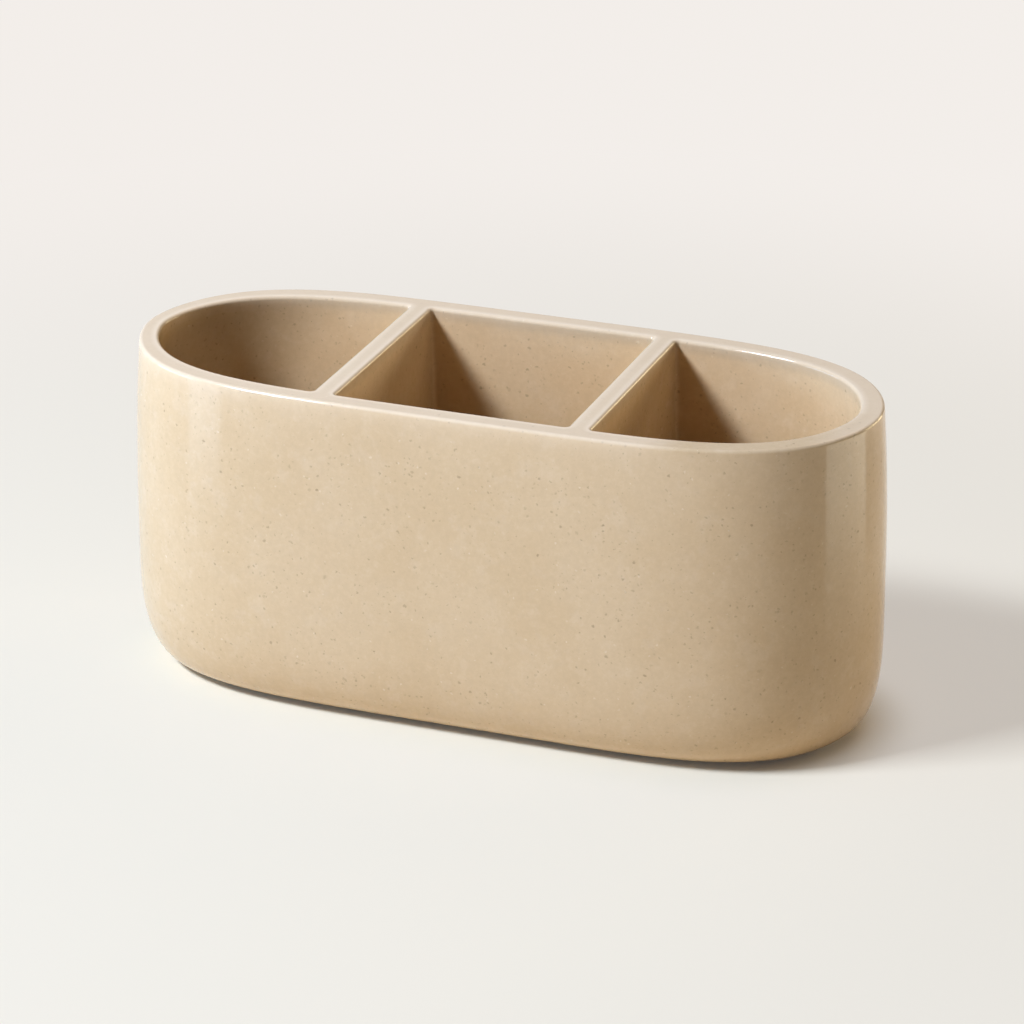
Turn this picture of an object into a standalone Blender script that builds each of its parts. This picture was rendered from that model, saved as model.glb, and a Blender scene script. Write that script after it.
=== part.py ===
"""Oval stoneware brush cup: one hollow body and the two cross partitions that divide it in three.

Metres, +Z up. The origin is on the resting plane, under the middle of the cup.
The cup is long in X, and both partitions run across it in Y.
"""
import math

import bmesh
import bpy

# Overall sizes
cup_length = 0.2000
cup_width = 0.0816
cup_height = 0.0870

# Plan outline: |x / half length| ** side_power + |y / half width| ** end_power = 1,
# which gives nearly straight long sides that swell a little and run into round ends
side_power = 4.8
end_power = 1.78
outline_steps = 20

# Wall, which is widest at the top of the bottom curve and draws in towards the rim
wall_thickness = 0.0062
rim_draw_in = 0.0018
draw_in_power = 2.8
outer_rim_radius = 0.0010
inner_rim_radius = 0.0010
wall_steps = 6
rim_steps = 3

# Bottom curve outside, and the softer corner that leads to the floor inside
bottom_curve_height = 0.0270
bottom_curve_reach = 0.0110
bottom_curve_power = 2.6
floor_thickness = 0.0075
floor_corner_reach = 0.0080
curve_steps = 8

# Foot ring under the floor
foot_height = 0.0008
foot_setback = 0.0030
foot_width = 0.0040
foot_chamfer = 0.0003

# Partitions, with a fillet of slip against the wall at each end
left_partition_x = -0.0356
right_partition_x = 0.0316
partition_thickness = 0.0060
partition_edge_radius = 0.0010
partition_fillet = 0.0024
fillet_sweep = math.radians(70.0)
fillet_steps = 4
joint_clearance = 0.0003

# Finish
glaze_colour = (0.63, 0.50, 0.345, 1.0)
glaze_roughness = 0.25
sharp_angle = math.radians(40.0)

# Heights that follow from the sizes above
rim_start = cup_height - outer_rim_radius
floor_top = foot_height + floor_thickness


def quarter_turn(steps):
    """Angles from 0 to 90 degrees."""
    return [math.pi / 2 * step / steps for step in range(steps + 1)]


def outline(inset):
    """Closed plan outline, moved inwards by the inset along its own normal."""
    half_length = cup_length / 2
    half_width = cup_width / 2
    first_quarter = []
    for angle in quarter_turn(outline_steps):
        across = max(math.cos(angle), 0.0) ** (2 / side_power)
        along = math.sin(angle) ** (2 / end_power)
        normal_x = side_power * across ** (side_power - 1) / half_length
        normal_y = end_power * along ** (end_power - 1) / half_width
        size = math.hypot(normal_x, normal_y)
        x = half_length * across - inset * normal_x / size
        y = half_width * along - inset * normal_y / size
        first_quarter.append((x, y))
    second_quarter = [(-x, y) for x, y in reversed(first_quarter[:-1])]
    upper_half = first_quarter + second_quarter
    lower_half = [(x, -y) for x, y in reversed(upper_half[1:-1])]
    return upper_half + lower_half


def wall_inset(height):
    """How far the outer wall stands inside the widest outline, from the bottom curve up."""
    rise = (height - bottom_curve_height) / (rim_start - bottom_curve_height)
    return rim_draw_in * min(max(rise, 0.0), 1.0) ** draw_in_power


def cavity_inset(height):
    """How far the inner surface stands inside the widest outline, from the floor up."""
    if height >= bottom_curve_height:
        return wall_thickness + wall_inset(height)
    drop = (bottom_curve_height - height) / (bottom_curve_height - floor_top)
    open_share = (1 - drop ** bottom_curve_power) ** (1 / bottom_curve_power)
    return wall_thickness + floor_corner_reach * (1 - open_share)


def foot_section():
    """Inset and height of the rings round the foot, from its inner side to its outer side."""
    outer = bottom_curve_reach + foot_setback
    inner = outer + foot_width
    return [
        (inner, foot_height),
        (inner, foot_chamfer),
        (inner - foot_chamfer, 0.0),
        (outer + foot_chamfer, 0.0),
        (outer, foot_chamfer),
        (outer, foot_height),
    ]


def outer_section():
    """Inset and height of the rings up the outside, from the foot to the rim."""
    section = []
    curve_height = bottom_curve_height - foot_height
    for angle in quarter_turn(curve_steps):
        rise = 1 - max(math.cos(angle), 0.0) ** (2 / bottom_curve_power)
        reach = 1 - math.sin(angle) ** (2 / bottom_curve_power)
        section.append((bottom_curve_reach * reach, foot_height + curve_height * rise))
    for step in range(1, wall_steps + 1):
        height = bottom_curve_height + (rim_start - bottom_curve_height) * step / wall_steps
        section.append((wall_inset(height), height))
    return section


def rim_section():
    """Inset and height of the rings over the rim, from outside to inside."""
    section = []
    for angle in quarter_turn(rim_steps)[1:]:
        inset = rim_draw_in + outer_rim_radius * (1 - math.cos(angle))
        section.append((inset, rim_start + outer_rim_radius * math.sin(angle)))
    inner_edge = rim_draw_in + wall_thickness - inner_rim_radius
    for angle in quarter_turn(rim_steps):
        height = cup_height - inner_rim_radius * (1 - math.cos(angle))
        section.append((inner_edge + inner_rim_radius * math.sin(angle), height))
    return section


def inner_heights():
    """Heights of the rings down the inside, from under the rim to the floor."""
    heights = []
    for step in range(1, wall_steps + 1):
        heights.append(rim_start + (bottom_curve_height - rim_start) * step / wall_steps)
    for angle in reversed(quarter_turn(curve_steps)[:-1]):
        rise = 1 - math.cos(angle) ** (2 / bottom_curve_power)
        heights.append(floor_top + (bottom_curve_height - floor_top) * rise)
    return heights


def loft(name, rings, collection, material):
    """Closed body through rings that all have the same number of points, with a flat cap at each end."""
    bm = bmesh.new()
    loops = [[bm.verts.new(point) for point in ring] for ring in rings]
    for low, high in zip(loops, loops[1:]):
        for index in range(len(low)):
            after = (index + 1) % len(low)
            bm.faces.new((low[index], low[after], high[after], high[index]))
    bm.faces.new(loops[0])
    bm.faces.new(loops[-1])
    bmesh.ops.recalc_face_normals(bm, faces=bm.faces)
    mesh = bpy.data.meshes.new(name)
    bm.to_mesh(mesh)
    bm.free()
    mesh.materials.append(material)
    mesh.shade_smooth()
    mesh.set_sharp_from_angle(angle=sharp_angle)
    body = bpy.data.objects.new(name, mesh)
    collection.objects.link(body)
    return body


def make_body(collection):
    """Hollow body: the wall's section carried round the plan outline."""
    section = foot_section() + outer_section() + rim_section()
    section += [(cavity_inset(height), height) for height in inner_heights()]
    rings = [[(x, y, height) for x, y in outline(inset)] for inset, height in section]
    return loft("cup_body", rings, collection, glaze("body_glaze"))


def wall_reach(x, inset):
    """Distance from the cup's long axis to the inset outline at x."""
    edge = sorted(point for point in outline(inset) if point[1] > 0.0)
    for (x_low, y_low), (x_high, y_high) in zip(edge, edge[1:]):
        if x_low <= x <= x_high:
            return y_low + (y_high - y_low) * (x - x_low) / (x_high - x_low)
    return 0.0


def partition_ring(centre_x, height, half_thickness):
    """Plan of a partition at one height: two flat faces that flare into the wall at both ends."""
    inset = cavity_inset(height) + joint_clearance
    sides = []
    for side in (1, -1):
        points = []
        for step in range(fillet_steps + 1):
            angle = fillet_sweep * step / fillet_steps
            x = centre_x + side * (half_thickness + partition_fillet * (1 - math.cos(angle)))
            points.append((x, wall_reach(x, inset) - partition_fillet * (1 - math.sin(angle))))
        points.append((x, wall_reach(x, inset)))
        sides.append(points)
    right, left = sides
    upper = right + left[::-1]
    lower = [(x, -y) for x, y in reversed(upper)]
    return [(x, y, height) for x, y in upper + lower]


def make_partition(name, centre_x, collection):
    """Cross partition, level with the rim and resting on the floor, with rounded upper edges."""
    half_thickness = partition_thickness / 2
    edge_start = cup_height - partition_edge_radius
    heights = [floor_top + joint_clearance]
    heights += [height for height in reversed(inner_heights()) if heights[0] < height < edge_start]
    heights.append(edge_start)
    rings = [partition_ring(centre_x, height, half_thickness) for height in heights]
    for angle in quarter_turn(rim_steps)[1:]:
        height = edge_start + partition_edge_radius * math.sin(angle)
        drawn_in = partition_edge_radius * (1 - math.cos(angle))
        rings.append(partition_ring(centre_x, height, half_thickness - drawn_in))
    return loft(name, rings, collection, glaze(name + "_glaze"))


def glaze(name):
    """Warm oat-coloured glossy glaze."""
    material = bpy.data.materials.new(name)
    material.use_nodes = True
    shader = material.node_tree.nodes["Principled BSDF"]
    shader.inputs["Base Color"].default_value = glaze_colour
    shader.inputs["Roughness"].default_value = glaze_roughness
    shader.inputs["Metallic"].default_value = 0.0
    return material


def main():
    """Clear the scene and make the cup."""
    for old in list(bpy.data.objects):
        bpy.data.objects.remove(old, do_unlink=True)
    collection = bpy.data.collections.new("brush_cup")
    bpy.context.scene.collection.children.link(collection)
    make_body(collection)
    make_partition("partition_left", left_partition_x, collection)
    make_partition("partition_right", right_partition_x, collection)


main()
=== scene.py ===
"""Looks of the oval stoneware brush cup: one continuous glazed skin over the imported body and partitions."""
import math

import bmesh
import bpy
import numpy as np
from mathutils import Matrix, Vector, noise


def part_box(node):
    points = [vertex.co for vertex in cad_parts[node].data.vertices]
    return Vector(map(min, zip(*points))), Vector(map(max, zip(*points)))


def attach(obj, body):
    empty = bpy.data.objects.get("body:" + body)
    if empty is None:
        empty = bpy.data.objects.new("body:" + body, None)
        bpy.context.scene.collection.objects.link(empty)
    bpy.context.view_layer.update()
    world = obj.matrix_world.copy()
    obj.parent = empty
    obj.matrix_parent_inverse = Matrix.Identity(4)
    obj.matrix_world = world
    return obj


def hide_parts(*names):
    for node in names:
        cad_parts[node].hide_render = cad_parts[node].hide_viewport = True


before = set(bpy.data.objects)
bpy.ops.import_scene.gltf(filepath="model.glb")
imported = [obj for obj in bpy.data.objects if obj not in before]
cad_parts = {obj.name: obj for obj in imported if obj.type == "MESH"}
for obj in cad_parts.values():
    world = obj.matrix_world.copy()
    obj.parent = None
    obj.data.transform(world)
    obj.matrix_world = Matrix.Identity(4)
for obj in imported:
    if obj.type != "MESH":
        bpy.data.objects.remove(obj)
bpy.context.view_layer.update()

body_low, body_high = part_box("cup_body")
left_low, left_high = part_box("partition_left")
right_low, right_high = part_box("partition_right")

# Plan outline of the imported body: |x / half length| ** side_power + |y / half width| ** end_power = 1
half_length = (body_high.x - body_low.x) / 2
half_width = (body_high.y - body_low.y) / 2
cup_height = body_high.z
side_power = 4.8
end_power = 1.78

# Wall, rim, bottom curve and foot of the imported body
wall_thickness = 0.0062
rim_draw_in = 0.0018
draw_in_power = 2.8
outer_rim_radius = 0.0010
inner_rim_radius = 0.0010
bottom_curve_height = 0.0270
bottom_curve_reach = 0.0110
bottom_curve_power = 2.6
floor_thickness = 0.0075
floor_corner_reach = 0.0080
foot_height = 0.0008
foot_setback = 0.0030
foot_width = 0.0040
foot_rounding = 0.00035
foot_embedding = 0.0006

# The wall is this much thinner at the cup's left end, from the given x outwards
left_end_thinning = 0.0013
thinning_start_x = -0.060

# Partitions
left_partition_x = (left_low.x + left_high.x) / 2
right_partition_x = (right_low.x + right_high.x) / 2
partition_thickness = 0.0060
corner_radius = 0.0010
partition_foot_radius = 0.0045

# Mesh steps
outline_columns = 336
land_support = 0.00022
edge_band = 0.0014
wall_step = 0.0014
rim_steps = 7
curve_steps = 26
corner_steps = 9
foot_steps = 5
line_steps = 40
fine_steps = 6000
floor_rings = 16
floor_ring_power = 1.15

# Share of the pale edge tone in the glaze: partly the glaze breaking pale over the edges, partly a painted
# highlight along the rim's edges and painted light on its flat top. It stands on the rim's flat top, over its
# two roundings, and down the walls, where it fades with each step
outer_top_lip = 0.65
outer_edge_lip = 0.36
outer_rounding_lip = 0.4
outer_lip_fade = 0.6
inner_top_lips = (0.65, 0.85, 1.0)
inner_rounding_lip = 0.8
inner_edge_lip = 0.2

# Depth in a compartment from which the inner tone is fully brightened by painted light, and the depth at
# which its painted shade is at its deepest
painted_light_depth = 0.004
painted_shade_depth = 0.044

# Inside, painted shade darkens the tone towards the cup's left end as well, by this share of the deepest
# painted shade
end_shade_share = 0.85
end_shade_start_x = -0.054
end_shade_full_x = -0.080

# Part of the front rim on which the pale edge tone is left out as a painted darker reflection, so that the
# rim is no paler than the wall; it comes and goes within the fade's length to either side of both ends
painted_reflection_start_x = 0.054
painted_reflection_end_x = 0.091
painted_reflection_fade = 0.008

# Unevenness of the thrown and glazed surface, always inwards from the true shape
slow_wave_length = 0.055
slow_wave_depth = 0.00012
quick_wave_length = 0.013
quick_wave_depth = 0.00003

rim_start = cup_height - outer_rim_radius
floor_top = foot_height + floor_thickness


def outline_point(turn, inset):
    """Points and outward normals of the plan outline at an array of turns, moved in by the inset."""
    cos, sin = np.cos(turn), np.sin(turn)
    across = np.abs(cos) ** (2 / side_power)
    along = np.abs(sin) ** (2 / end_power)
    normal_x = np.sign(cos) * side_power * across ** (side_power - 1) / half_length
    normal_y = np.sign(sin) * end_power * along ** (end_power - 1) / half_width
    size = np.hypot(normal_x, normal_y)
    normal_x, normal_y = normal_x / size, normal_y / size
    x = half_length * np.sign(cos) * across - inset * normal_x
    y = half_width * np.sign(sin) * along - inset * normal_y
    return x, y, normal_x, normal_y


# Upper half of the outline in fine steps, with the length along it
fine_turns = np.linspace(0.0, math.pi, fine_steps + 1)
fine_x, fine_y, _, _ = outline_point(fine_turns, 0.0)
fine_length = np.concatenate([[0.0], np.cumsum(np.hypot(np.diff(fine_x), np.diff(fine_y)))])


def even_turns(first, last, count):
    """Turns from first to last that cut the upper half of the outline into even lengths."""
    start, end = np.interp([first, last], fine_turns, fine_length)
    return np.interp(np.linspace(start, end, count), fine_length, fine_turns)


def turn_at(x, inset):
    """Turn on the upper half at which the inset outline has this x."""
    inset_x = outline_point(fine_turns, inset)[0]
    return float(np.interp(x, inset_x[::-1], fine_turns[::-1]))


def quarter_turn(steps):
    """Angles from 0 to 90 degrees."""
    return [math.pi / 2 * step / steps for step in range(steps + 1)]


def wall_inset(height):
    """How far the outer wall stands inside the widest outline."""
    rise = (height - bottom_curve_height) / (rim_start - bottom_curve_height)
    return rim_draw_in * min(max(rise, 0.0), 1.0) ** draw_in_power


def cavity_inset(height):
    """How far the inner surface stands inside the widest outline."""
    if height >= bottom_curve_height:
        return wall_thickness + wall_inset(height)
    drop = min((bottom_curve_height - height) / (bottom_curve_height - floor_top), 1.0)
    open_share = (1 - drop ** bottom_curve_power) ** (1 / bottom_curve_power)
    return wall_thickness + floor_corner_reach * (1 - open_share)


def smooth_share(value, low, high):
    """Smooth step from 0 at low to 1 at high."""
    share = min(max((value - low) / (high - low), 0.0), 1.0)
    return share * share * (3 - 2 * share)


def painted_end_shade(x):
    """Share of the deepest painted shade that the cup's left end has at x."""
    return end_shade_share * (1 - smooth_share(x, end_shade_full_x, end_shade_start_x))


def paler_rim(x, y):
    """Share of the pale edge tone (glaze break and painted highlight) that the rim's flat top and outer edge
    keep; it drops where a darker reflection is painted on the front.
    """
    if y > 0.0:
        return 1.0
    opened = smooth_share(x, painted_reflection_start_x - painted_reflection_fade, painted_reflection_start_x + painted_reflection_fade)
    closed = smooth_share(x, painted_reflection_end_x - painted_reflection_fade, painted_reflection_end_x + painted_reflection_fade)
    return 1.0 - opened * (1.0 - closed)


class Skin:
    """Mesh under construction, made of closed loops of points joined by quads."""

    def __init__(self):
        self.bm = bmesh.new()
        self.pale_edge_and_highlight_layer = self.bm.verts.layers.float.new("pale_edge_and_highlight")
        self.inside_layer = self.bm.verts.layers.float.new("inside")
        self.painted_shade_layer = self.bm.verts.layers.float.new("painted_shade")

    def loop(self, points, pale_edge_and_highlight=0.0, depth=0.0):
        """Vertices of one closed loop.

        The pale edge share is 1 where the glaze breaks pale over an edge and a highlight is painted along it,
        and depth is how far the loop lies down a compartment, which sets the painted light and painted shade
        there.
        """
        # inside carries the painted light in a compartment, and the share below it the painted shade, deeper
        # down and towards the cup's left end
        inside = min(depth / painted_light_depth, 1.0)
        painted_shade = min(max(depth - painted_light_depth, 0.0) / (painted_shade_depth - painted_light_depth), 1.0)
        loop = [self.bm.verts.new(point) for point in points]
        for vert in loop:
            # On the rim's top, the pale edge share gives way where a darker reflection is painted on the
            # front
            vert[self.pale_edge_and_highlight_layer] = pale_edge_and_highlight if depth > 0.0 else pale_edge_and_highlight * paler_rim(vert.co.x, vert.co.y)
            vert[self.inside_layer] = inside
            # The painted shade also darkens the inside towards the cup's left end
            vert[self.painted_shade_layer] = max(painted_shade, inside * painted_end_shade(vert.co.x))
        return loop

    def bridge(self, low, high):
        """Quads between two loops with the same number of points."""
        for index in range(len(low)):
            after = (index + 1) % len(low)
            self.bm.faces.new((low[index], low[after], high[after], high[index]))

    def stack(self, loops):
        """Quads between each loop and the next."""
        for low, high in zip(loops, loops[1:]):
            self.bridge(low, high)

    def close(self, rim, depth=0.0):
        """Rings that shrink evenly to a small face and close the loop with a flat floor."""
        centre = sum((vert.co for vert in rim), Vector()) / len(rim)
        loops = [rim]
        for step in range(1, floor_rings):
            share = (1 - step / floor_rings) ** floor_ring_power
            points = [centre + (vert.co - centre) * share for vert in rim]
            loops.append(self.loop(points, depth=depth))
        self.stack(loops)
        self.bm.faces.new(loops[-1])

    def land(self, outer, inner_loops):
        """Flat top of the rim and partitions, between the outer loop and the compartments' loops."""
        edges = []
        for loop in [outer] + inner_loops:
            for index in range(len(loop)):
                edges.append(self.bm.edges.get((loop[index - 1], loop[index])))
        bmesh.ops.triangle_fill(self.bm, use_beauty=True, edges=edges, normal=(0.0, 0.0, 1.0))

    def finish(self, name, material):
        """Object with the mesh, smooth and facing outwards."""
        bmesh.ops.recalc_face_normals(self.bm, faces=self.bm.faces)
        mesh = bpy.data.meshes.new(name)
        self.bm.to_mesh(mesh)
        self.bm.free()
        mesh.shade_smooth()
        mesh.materials.append(material)
        piece = bpy.data.objects.new(name, mesh)
        bpy.context.scene.collection.objects.link(piece)
        return piece


def outer_points(inset, height):
    """Closed loop round the outside."""
    half = even_turns(0.0, math.pi, outline_columns // 2 + 1)
    turns = np.concatenate([half, 2 * math.pi - half[-2:0:-1]])
    x, y, _, _ = outline_point(turns, inset)
    return [(px, py, height) for px, py in zip(x, y)]


def outer_section():
    """Inset, height and pale edge share (glaze break and painted highlight) of the loops from the rim's flat
    top down to the underside.
    """
    section = [(rim_draw_in + outer_rim_radius + land_support, cup_height, outer_top_lip)]
    for angle in reversed(quarter_turn(rim_steps)):
        inset = rim_draw_in + outer_rim_radius * (1 - math.cos(angle))
        height = rim_start + outer_rim_radius * math.sin(angle)
        section.append((inset, height, outer_edge_lip + outer_rounding_lip * math.sin(angle)))
    wall_steps = round((rim_start - bottom_curve_height) / wall_step)
    for step in range(1, wall_steps + 1):
        height = rim_start + (bottom_curve_height - rim_start) * step / wall_steps
        section.append((wall_inset(height), height, outer_edge_lip * math.exp(-outer_lip_fade * step)))
    for angle in reversed(quarter_turn(curve_steps)[:-1]):
        rise = 1 - math.cos(angle) ** (2 / bottom_curve_power)
        reach = 1 - math.sin(angle) ** (2 / bottom_curve_power)
        height = foot_height + (bottom_curve_height - foot_height) * rise
        section.append((bottom_curve_reach * reach, height, 0.0))
    return section


def compartment_points(inset, shift, height, left_x, right_x):
    """Closed loop round a compartment.

    left_x and right_x are the partition faces that bound it, or None at the cup's round ends.
    shift moves those faces into the compartment.
    """
    first, last = 0.0, math.pi
    before, after = [], []
    radius = corner_radius + max(-shift, 0.0)
    if right_x is not None:
        face = right_x - shift
        first = turn_at(face - radius, inset + radius)
        before = corner(face, -1, radius, first, inset)
    if left_x is not None:
        face = left_x + shift
        last = turn_at(face + radius, inset + radius)
        after = corner(face, 1, radius, last, inset)[::-1]
    x, y, _, _ = outline_point(even_turns(first, last, compartment_columns(left_x, right_x)), inset)
    upper = before + list(zip(x, y)) + after
    lower = [(px, -py) for px, py in reversed(upper)]
    if right_x is None:
        lower = lower[:-1]
    if left_x is None:
        lower = lower[1:]
    return [(thinned(px), py, height) for px, py in upper + lower]


def thinned(x):
    """x of an inner point, moved outwards where the wall is thinner."""
    share = max(thinning_start_x - x, 0.0) / (half_length - wall_thickness + thinning_start_x)
    return x - left_end_thinning * min(share, 1.0) ** 2


def compartment_columns(left_x, right_x):
    """Number of points along a compartment's wall, so that they lie as close as on the outside."""
    low = -half_length if left_x is None else left_x
    high = half_length if right_x is None else right_x
    length = np.interp(turn_at(low, 0.0), fine_turns, fine_length)
    length -= np.interp(turn_at(high, 0.0), fine_turns, fine_length)
    return round(length / fine_length[-1] * outline_columns / 2)


def corner(face, side, radius, turn, inset):
    """Points along a partition's face and round the fillet that joins it to the wall."""
    found = outline_point(np.float64(turn), inset + radius)
    centre_x, centre_y, normal_x, normal_y = (float(value) for value in found)
    flat = 0.0 if side < 0 else math.pi
    end = math.atan2(normal_y, normal_x)
    points = []
    for step in range(line_steps):
        points.append((face, centre_y * (step + 0.5) / (line_steps + 0.5)))
    for step in range(corner_steps):
        angle = flat + (end - flat) * step / corner_steps
        points.append((centre_x + radius * math.cos(angle), centre_y + radius * math.sin(angle)))
    return points


def compartment_section():
    """Inset, face shift, height and pale edge share (glaze break and painted highlight) of the loops from the
    flat top to the compartment's floor.
    """
    edge = rim_draw_in + wall_thickness - inner_rim_radius
    section = []
    for band, pale_edge_and_highlight in zip((edge_band, edge_band / 2, land_support), inner_top_lips):
        section.append((edge - band, -inner_rim_radius - band, cup_height, pale_edge_and_highlight))
    for angle in quarter_turn(rim_steps):
        out = inner_rim_radius * (1 - math.sin(angle))
        height = cup_height - inner_rim_radius * (1 - math.cos(angle))
        pale_edge_and_highlight = 1.0 - inner_rounding_lip * math.sin(angle)
        section.append((rim_draw_in + wall_thickness - out, -out, height, pale_edge_and_highlight))
    start = cup_height - inner_rim_radius
    wall_steps = round((start - bottom_curve_height) / wall_step)
    for step in range(1, wall_steps + 1):
        height = start + (bottom_curve_height - start) * step / wall_steps
        section.append((cavity_inset(height), 0.0, height, inner_edge_lip * math.exp(-step)))
    for angle in reversed(quarter_turn(curve_steps)[:-1]):
        rise = 1 - math.cos(angle) ** (2 / bottom_curve_power)
        height = floor_top + (bottom_curve_height - floor_top) * rise
        drop = min(max(floor_top + partition_foot_radius - height, 0.0) / partition_foot_radius, 1.0)
        shift = partition_foot_radius * (1 - math.sqrt(1 - drop ** 2))
        section.append((cavity_inset(height), shift, height, 0.0))
    return section


def uneven(piece):
    """Moves each vertex inwards by slow and quick waves, as a hand-finished glaze has."""
    mesh = piece.data
    normals = [vert.normal.copy() for vert in mesh.vertices]
    for vert, normal in zip(mesh.vertices, normals):
        slow = 0.5 + 0.5 * noise.noise(vert.co / slow_wave_length)
        quick = 0.5 + 0.5 * noise.noise(vert.co / quick_wave_length)
        depth = slow_wave_depth * slow + quick_wave_depth * quick
        vert.co -= normal * depth
    mesh.update()


def glazed_cup(material):
    """Skin of the whole cup."""
    skin = Skin()
    outer = [skin.loop(outer_points(inset, height), pale_edge_and_highlight) for inset, height, pale_edge_and_highlight in outer_section()]
    skin.stack(outer)
    skin.close(outer[-1])
    half = partition_thickness / 2
    bounds = [
        (None, left_partition_x - half),
        (left_partition_x + half, right_partition_x - half),
        (right_partition_x + half, None),
    ]
    tops = []
    for left_x, right_x in bounds:
        loops = []
        for inset, shift, height, pale_edge_and_highlight in compartment_section():
            points = compartment_points(inset, shift, height, left_x, right_x)
            loops.append(skin.loop(points, pale_edge_and_highlight, cup_height - height))
        skin.stack(loops)
        skin.close(loops[-1], depth=cup_height - floor_top)
        tops.append(loops[0])
    skin.land(outer[0], tops)
    piece = skin.finish("glazed_cup", material)
    uneven(piece)
    return piece


def foot_ring(material):
    """Bare clay foot under the cup, wiped clean of glaze."""
    outer = bottom_curve_reach + foot_setback
    inner = outer + foot_width
    skin = Skin()
    section = [(outer, foot_height + foot_embedding), (outer, foot_rounding)]
    for angle in quarter_turn(foot_steps)[1:]:
        height = foot_rounding * (1 - math.sin(angle))
        section.append((outer + foot_rounding * (1 - math.cos(angle)), height))
    for angle in reversed(quarter_turn(foot_steps)):
        height = foot_rounding * (1 - math.sin(angle))
        section.append((inner - foot_rounding * (1 - math.cos(angle)), height))
    section.append((inner, foot_height + foot_embedding))
    loops = [skin.loop(outer_points(inset, height)) for inset, height in section]
    skin.stack(loops + [loops[0]])
    return skin.finish("foot_ring", material)


def feed(tree, sockets, values):
    """Gives each input socket its value, which is another node's socket or a plain value."""
    for socket, value in zip(sockets, values):
        if isinstance(value, bpy.types.NodeSocket):
            tree.links.new(value, socket)
        else:
            socket.default_value = value


def mix_colour(tree, share, first, second, blend="MIX"):
    """Colour between first and second; each may be a socket or a colour."""
    made = tree.nodes.new("ShaderNodeMix")
    made.data_type = "RGBA"
    made.blend_type = blend
    # The Mix node has sockets for each data type; 6 and 7 in, and 2 out, are the colours
    feed(tree, (made.inputs[0], made.inputs[6], made.inputs[7]), (share, first, second))
    return made.outputs[2]


def ramp(tree, source, *stops):
    """Smooth ramp of a socket; each of the two stops is a position and a value."""
    made = tree.nodes.new("ShaderNodeMapRange")
    made.interpolation_type = "SMOOTHSTEP"
    (low, low_value), (high, high_value) = stops
    tree.links.new(source, made.inputs["Value"])
    made.inputs["From Min"].default_value = low
    made.inputs["From Max"].default_value = high
    made.inputs["To Min"].default_value = low_value
    made.inputs["To Max"].default_value = high_value
    return made.outputs["Result"]


def math_node(tree, operation, first, second):
    """Result of an operation on two sockets or numbers."""
    made = tree.nodes.new("ShaderNodeMath")
    made.operation = operation
    feed(tree, made.inputs, (first, second))
    return made.outputs[0]


def vector_node(tree, operation, *values, output="Vector"):
    """Result of an operation on sockets or vectors."""
    made = tree.nodes.new("ShaderNodeVectorMath")
    made.operation = operation
    feed(tree, made.inputs, values)
    return made.outputs[output]


def noise_texture(tree, place, size, detail=2.0, roughness=0.5, output="Fac"):
    """Noise whose features are about this many metres across."""
    made = tree.nodes.new("ShaderNodeTexNoise")
    made.inputs["Scale"].default_value = 1 / size
    made.inputs["Detail"].default_value = detail
    made.inputs["Roughness"].default_value = roughness
    tree.links.new(place, made.inputs["Vector"])
    return made.outputs[output]


def cell_texture(tree, place, size):
    """Distance to the nearest of scattered points about this far apart, and that point's random colour."""
    made = tree.nodes.new("ShaderNodeTexVoronoi")
    made.inputs["Scale"].default_value = 1 / size
    tree.links.new(place, made.inputs["Vector"])
    return made.outputs["Distance"], made.outputs["Color"]


def attribute(tree, name):
    """Value of a float layer of the mesh."""
    made = tree.nodes.new("ShaderNodeAttribute")
    made.attribute_name = name
    return made.outputs["Fac"]


def ragged(tree, place, size, reach):
    """Place moved about by fine noise, so that what is drawn with it gets ragged edges."""
    offset = noise_texture(tree, place, size, detail=1.0, output="Color")
    return vector_node(tree, "MULTIPLY_ADD", offset, (reach, reach, reach), place)


def specks(tree, place, spacing, radius, share, strength):
    """Mask of scattered specks, some smaller and weaker than others.

    spacing and radius are in metres; share, a number or a socket, is the share of the cells that hold one.
    strength is the mask's value in the middle of the strongest speck.
    smallest and weakest are shares of the radius and strength, and core is the share of a speck that is full.
    """
    smallest = 0.40
    weakest = 0.35
    core = 0.35
    distance, colour = cell_texture(tree, place, spacing)
    split = tree.nodes.new("ShaderNodeSeparateColor")
    tree.links.new(colour, split.inputs["Color"])
    chosen = math_node(tree, "LESS_THAN", split.outputs["Red"], share)
    full_size = radius / spacing
    size = ramp(tree, split.outputs["Green"], (0.0, smallest * full_size), (1.0, full_size))
    near = math_node(tree, "DIVIDE", distance, size)
    dot = ramp(tree, near, (core, 1.0), (1.0, 0.0))
    weight = ramp(tree, split.outputs["Blue"], (0.0, weakest * strength), (1.0, strength))
    return math_node(tree, "MULTIPLY", math_node(tree, "MULTIPLY", dot, chosen), weight)


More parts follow.
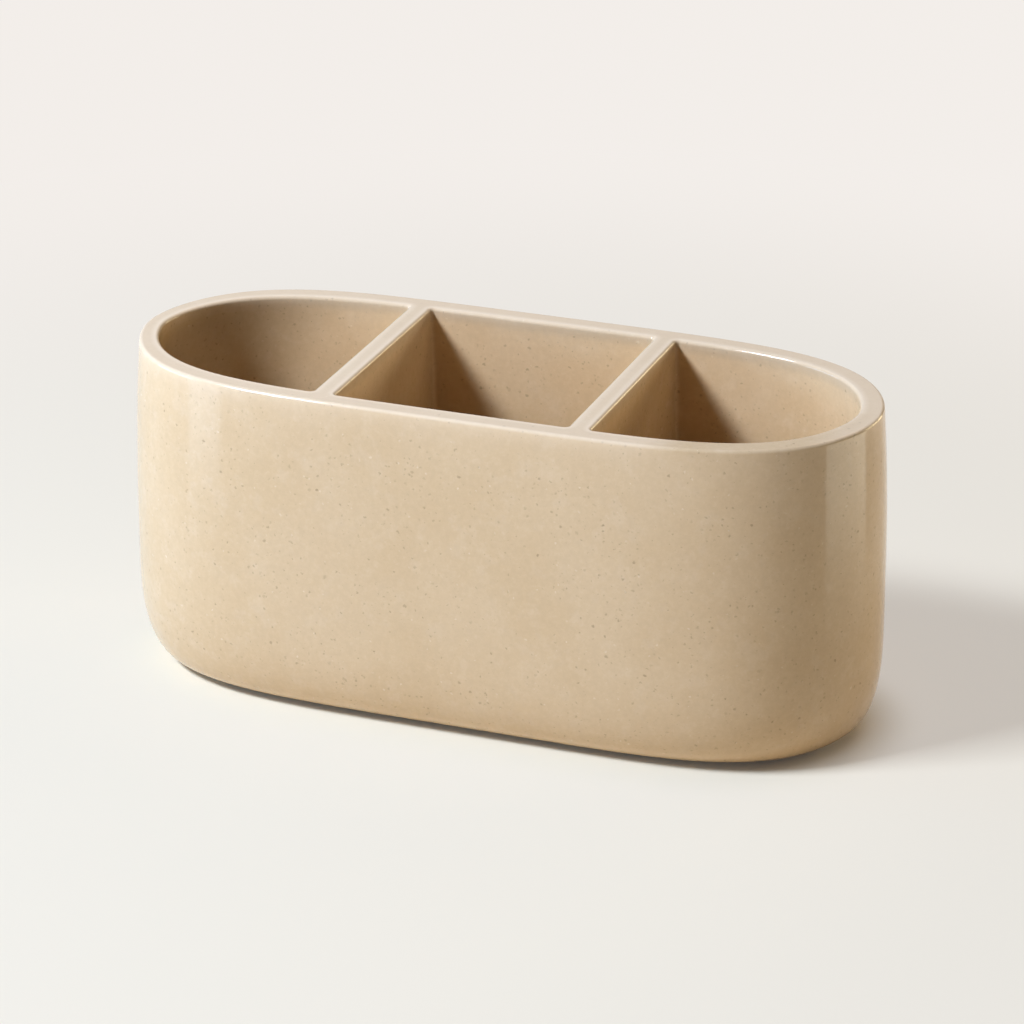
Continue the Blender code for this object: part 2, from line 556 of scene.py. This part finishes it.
def make_glaze():
    """Glossy oat glaze over speckled stoneware."""
    material = bpy.data.materials.new("speckled_glaze")
    material.use_nodes = True
    tree = material.node_tree
    shader = tree.nodes["Principled BSDF"]
    place = tree.nodes.new("ShaderNodeTexCoord").outputs["Object"]

    # Painted light brightens, and painted shade darkens, the other tones inside the compartments by
    # multiplying them
    base = (0.656, 0.500, 0.331, 1.0)
    warm = (0.632, 0.473, 0.302, 1.0)
    pale = (0.688, 0.541, 0.384, 1.0)
    painted_inner_light = (1.325, 1.295, 1.210, 1.0)
    darkest_painted_shade = (0.620, 0.590, 0.540, 1.0)
    # Pale edge tone: the glaze breaking pale over the edges, with a painted highlight along them and painted
    # light on the rim's flat top
    pale_edge_and_highlight_colour = (0.93, 0.785, 0.63, 1.0)
    brown = (0.190, 0.115, 0.058, 1.0)
    fleck = (0.860, 0.760, 0.610, 1.0)
    pale_edge_and_highlight_strength = 0.74
    coarse_dent = 0.6

    cloud = noise_texture(tree, place, size=0.024, detail=3.0, roughness=0.55)
    colour = mix_colour(tree, ramp(tree, cloud, (0.36, 0.0), (0.64, 1.0)), warm, base)
    mottle = noise_texture(tree, place, size=0.0052, detail=3.0, roughness=0.6)
    colour = mix_colour(tree, ramp(tree, mottle, (0.50, 0.0), (0.72, 0.45)), colour, pale)

    grain = noise_texture(tree, place, size=0.0016, detail=4.0, roughness=0.75)
    colour = mix_colour(tree, ramp(tree, grain, (0.36, 0.05), (0.56, 0.0)), colour, brown)
    colour = mix_colour(tree, ramp(tree, grain, (0.52, 0.0), (0.70, 0.08)), colour, fleck)

    patch = ramp(tree, noise_texture(tree, place, size=0.012, detail=1.0), (0.36, 0.45), (0.62, 1.0))
    torn = ragged(tree, place, size=0.0008, reach=0.0010)
    faint = specks(tree, torn, spacing=0.0015, radius=0.00042, share=patch, strength=0.31)
    plain = specks(tree, torn, spacing=0.0023, radius=0.00054, share=patch, strength=0.40)
    coarse = specks(tree, torn, spacing=0.0056, radius=0.00066, share=0.60, strength=0.46)
    for mask in (faint, plain, coarse):
        colour = mix_colour(tree, mask, colour, brown)
    milky = specks(tree, torn, spacing=0.0026, radius=0.00046, share=0.60, strength=0.42)
    colour = mix_colour(tree, milky, colour, fleck)

    # Painted light inside the compartments, then painted shade deeper down and towards the left end
    colour = mix_colour(tree, attribute(tree, "inside"), colour, painted_inner_light, blend="MULTIPLY")
    colour = mix_colour(tree, attribute(tree, "painted_shade"), colour, darkest_painted_shade, blend="MULTIPLY")
    # Pale edge tone, partly glaze break and partly painted highlight and painted light on the rim
    pale_edge_and_highlight = math_node(tree, "MULTIPLY", attribute(tree, "pale_edge_and_highlight"), pale_edge_and_highlight_strength)
    colour = mix_colour(tree, pale_edge_and_highlight, colour, pale_edge_and_highlight_colour)
    tree.links.new(colour, shader.inputs["Base Color"])

    sheen = noise_texture(tree, place, size=0.006, detail=3.0)
    tree.links.new(ramp(tree, sheen, (0.3, 0.08), (0.7, 0.13)), shader.inputs["Roughness"])
    shader.inputs["IOR"].default_value = 1.5

    bump = tree.nodes.new("ShaderNodeBump")
    bump.inputs["Strength"].default_value = 0.25
    bump.inputs["Distance"].default_value = 0.0002
    ripple = noise_texture(tree, place, size=0.0045)
    dents = math_node(tree, "MULTIPLY", coarse, coarse_dent)
    height = math_node(tree, "SUBTRACT", ripple, dents)
    tree.links.new(height, bump.inputs["Height"])
    tree.links.new(bump.outputs["Normal"], shader.inputs["Normal"])
    return material


def make_clay():
    """Bare fired clay of the foot."""
    material = bpy.data.materials.new("bare_clay")
    material.use_nodes = True
    tree = material.node_tree
    shader = tree.nodes["Principled BSDF"]
    place = tree.nodes.new("ShaderNodeTexCoord").outputs["Object"]
    sand = (0.50, 0.37, 0.25, 1.0)
    dark_sand = (0.36, 0.25, 0.16, 1.0)
    brown = (0.16, 0.09, 0.045, 1.0)
    grain = noise_texture(tree, place, size=0.0009, detail=4.0, roughness=0.7)
    colour = mix_colour(tree, ramp(tree, grain, (0.35, 0.0), (0.7, 1.0)), dark_sand, sand)
    mask = specks(tree, place, spacing=0.0030, radius=0.00035, share=0.4, strength=1.0)
    colour = mix_colour(tree, mask, colour, brown)
    tree.links.new(colour, shader.inputs["Base Color"])
    rough = ramp(tree, grain, (0.3, 0.72), (0.7, 0.92))
    tree.links.new(rough, shader.inputs["Roughness"])
    bump = tree.nodes.new("ShaderNodeBump")
    bump.inputs["Strength"].default_value = 0.6
    bump.inputs["Distance"].default_value = 0.0002
    tree.links.new(grain, bump.inputs["Height"])
    tree.links.new(bump.outputs["Normal"], shader.inputs["Normal"])
    return material


def light_path_share(tree, **shares):
    """Sum of shares, each counted only on its kind of ray, such as camera=0.5."""
    path = tree.nodes.new("ShaderNodeLightPath")
    total = 0.0
    for ray, share in shares.items():
        part = math_node(tree, "MULTIPLY", path.outputs["Is %s Ray" % ray.title()], share)
        total = math_node(tree, "ADD", total, part)
    return total


def make_floor():
    """Wide pale floor that keeps the cup's shadow.

    Camera and glossy rays see it part lit by the lamps, in the pale tone, and part as an even backdrop. The
    backdrop's share is near_share at the cup, grows to all of it at far_distance, and drops in the contact
    shadow. Other rays see only the lit floor, in the dim tone.
    """
    size = 8.0
    backdrop = (0.895, 0.855, 0.820, 1.0)
    pale = (0.77, 0.735, 0.620, 1.0)
    dim = (0.87, 0.72, 0.49, 1.0)
    near_share = 0.53
    near_distance = 0.16
    far_distance = 0.44
    contact_reach = 0.019
    # Openness above the floor, and the share of the backdrop that is left there
    contact_closed = (0.28, 0.09)
    contact_open = (0.92, 1.0)
    bpy.ops.mesh.primitive_plane_add(size=size, location=(0.0, 0.0, 0.0))
    floor = bpy.context.object
    floor.name = "floor"
    material = bpy.data.materials.new("pale_floor")
    material.use_nodes = True
    tree = material.node_tree
    shader = tree.nodes["Principled BSDF"]
    seen = light_path_share(tree, camera=1.0, glossy=1.0)
    tree.links.new(mix_colour(tree, seen, dim, pale), shader.inputs["Base Color"])
    shader.inputs["Roughness"].default_value = 0.6
    shader.inputs["Specular IOR Level"].default_value = 0.2
    glow = tree.nodes.new("ShaderNodeEmission")
    glow.inputs["Color"].default_value = backdrop

    place = tree.nodes.new("ShaderNodeTexCoord").outputs["Object"]
    away = vector_node(tree, "LENGTH", place, output="Value")
    spread = ramp(tree, away, (near_distance, near_share), (far_distance, 1.0))
    occlusion = tree.nodes.new("ShaderNodeAmbientOcclusion")
    occlusion.inputs["Distance"].default_value = contact_reach
    open_share = ramp(tree, occlusion.outputs["AO"], contact_closed, contact_open)
    spread = math_node(tree, "MULTIPLY", spread, open_share)
    share = math_node(tree, "MULTIPLY", spread, seen)

    mix = tree.nodes.new("ShaderNodeMixShader")
    tree.links.new(share, mix.inputs["Fac"])
    tree.links.new(shader.outputs["BSDF"], mix.inputs[1])
    tree.links.new(glow.outputs["Emission"], mix.inputs[2])
    tree.links.new(mix.outputs["Shader"], tree.nodes["Material Output"].inputs["Surface"])
    floor.data.materials.append(material)


def aim(thing, place, target):
    """Puts a light or camera at a place, looking at the target."""
    thing.location = place
    thing.rotation_euler = (Vector(target) - Vector(place)).to_track_quat("-Z", "Y").to_euler()


def area_light(name, place, target, width, height, power, colour):
    """Rectangular softbox that the camera doesn't see."""
    data = bpy.data.lights.new(name, "AREA")
    data.shape = "RECTANGLE"
    data.size = width
    data.size_y = height
    data.energy = power
    data.color = colour
    light = bpy.data.objects.new(name, data)
    bpy.context.scene.collection.objects.link(light)
    light.visible_camera = False
    aim(light, place, target)


def around(azimuth, elevation, distance):
    """Point this far from the cup's middle; azimuth 0 is in front and 90 on the right, both in degrees."""
    side, up = math.radians(azimuth), math.radians(elevation)
    return Vector((
        distance * math.sin(side) * math.cos(up),
        -distance * math.cos(side) * math.cos(up),
        cup_height / 2 + distance * math.sin(up),
    ))


def sector(tree, first, last):
    """Share that is 1 between two lines on the table, each a point and an azimuth, and 0 beyond them.

    Azimuths run as in around(), and the sector opens from the first line to the last.
    """
    blur = 0.004
    place = tree.nodes.new("ShaderNodeNewGeometry").outputs["Position"]
    share = 1.0
    for (x, y, azimuth), side in ((first, 1), (last, -1)):
        turn = math.radians(azimuth)
        moved = vector_node(tree, "SUBTRACT", place, (x, y, 0.0))
        normal = (side * math.cos(turn), side * math.sin(turn), 0.0)
        across = vector_node(tree, "DOT_PRODUCT", moved, normal, output="Value")
        inner = ramp(tree, across, (-blur, 0.0), (blur, 1.0))
        share = math_node(tree, "MULTIPLY", inner, share)
    return share


def table_panel(name, low, high, first, last, radiance, colour, start, full):
    """Softbox that lies on the table beside the cup, faces up, and shows as a reflection in the glaze.

    It is the part of the rectangle between low and high that lies in the sector from first to last.
    It brightens from nothing at the start distance from the cup's middle to the full one.
    """
    lift = 0.0015
    length, width = high[0] - low[0], high[1] - low[1]
    data = bpy.data.lights.new(name, "AREA")
    data.shape = "RECTANGLE"
    data.size = length
    data.size_y = width
    data.energy = math.pi * length * width * radiance
    data.color = colour
    data.use_nodes = True
    tree = data.node_tree
    place = tree.nodes.new("ShaderNodeNewGeometry").outputs["Position"]
    away = vector_node(tree, "LENGTH", place, output="Value")
    fade = ramp(tree, away, (start, 0.0), (full, 1.0))
    strength = math_node(tree, "MULTIPLY", fade, sector(tree, first, last))
    tree.links.new(strength, tree.nodes["Emission"].inputs["Strength"])
    light = bpy.data.objects.new(name, data)
    bpy.context.scene.collection.objects.link(light)
    light.visible_camera = False
    light.location = ((low[0] + high[0]) / 2, (low[1] + high[1]) / 2, lift)
    light.rotation_euler = (math.pi, 0.0, 0.0)


def make_world():
    """Warm surroundings, full for the camera, weaker in the glaze's reflections and weakest as light."""
    warm_share = 0.03
    mirror_share = 0.36
    world = bpy.data.worlds.new("studio")
    bpy.context.scene.world = world
    world.use_nodes = True
    tree = world.node_tree
    background = tree.nodes["Background"]
    background.inputs["Color"].default_value = (1.0, 0.90, 0.76, 1.0)
    strength = light_path_share(tree, camera=1.0, glossy=mirror_share, diffuse=warm_share)
    tree.links.new(strength, background.inputs["Strength"])


def make_lights():
    """Key from the upper left, weak fills around the cup, and lit panels of the table on both sides."""
    centre = (0.0, 0.0, cup_height / 2)
    area_light("key", around(-48, 47, 1.4), centre,
               width=0.36, height=0.26, power=28.8, colour=(0.81, 0.88, 1.0))
    area_light("left_fill", around(-72, 8, 1.2), centre,
               width=0.7, height=0.3, power=5.0, colour=(0.20, 0.55, 1.0))
    area_light("back_fill", around(140, 9, 1.2), centre,
               width=0.7, height=0.3, power=5.4, colour=(0.93, 0.77, 0.48))
    area_light("top_fill", around(150, 50, 1.2), centre,
               width=0.7, height=0.5, power=1.4, colour=(1.0, 0.74, 0.48))
    table_panel("right_panel", low=(0.12, -0.06), high=(0.54, 0.36),
                first=(0.0912, -0.0217, 87), last=(0.0975, -0.0092, 128),
                radiance=1.7, colour=(0.92, 0.92, 0.80), start=0.14, full=0.34)
    table_panel("left_panel", low=(-0.50, -0.45), high=(-0.10, -0.06),
                first=(-0.0715, -0.0348, -62), last=(-0.0612, -0.0372, -45),
                radiance=1.8, colour=(0.55, 0.76, 1.0), start=0.17, full=0.33)


def make_camera():
    """Camera at the photograph's viewing angle."""
    azimuth = math.radians(20.52)
    elevation = math.radians(22.99)
    distance = 1.0841
    target = Vector((0.00265, -0.00173, 0.04816))
    focal_pixels = 4261.9
    image_pixels = 1024
    back = Vector((
        math.sin(azimuth) * math.cos(elevation),
        -math.cos(azimuth) * math.cos(elevation),
        math.sin(elevation),
    ))
    data = bpy.data.cameras.new("camera")
    data.sensor_width = 36.0
    data.lens = data.sensor_width * focal_pixels / image_pixels
    camera = bpy.data.objects.new("camera", data)
    bpy.context.scene.collection.objects.link(camera)
    aim(camera, target + back * distance, target)
    bpy.context.scene.camera = camera


make_camera()
cup = glazed_cup(make_glaze())
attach(cup, "root")
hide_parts("cup_body", "partition_left", "partition_right")
foot = foot_ring(make_clay())
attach(foot, "root")
make_floor()
make_world()
make_lights()
bpy.context.scene.view_settings.view_transform = "Standard"
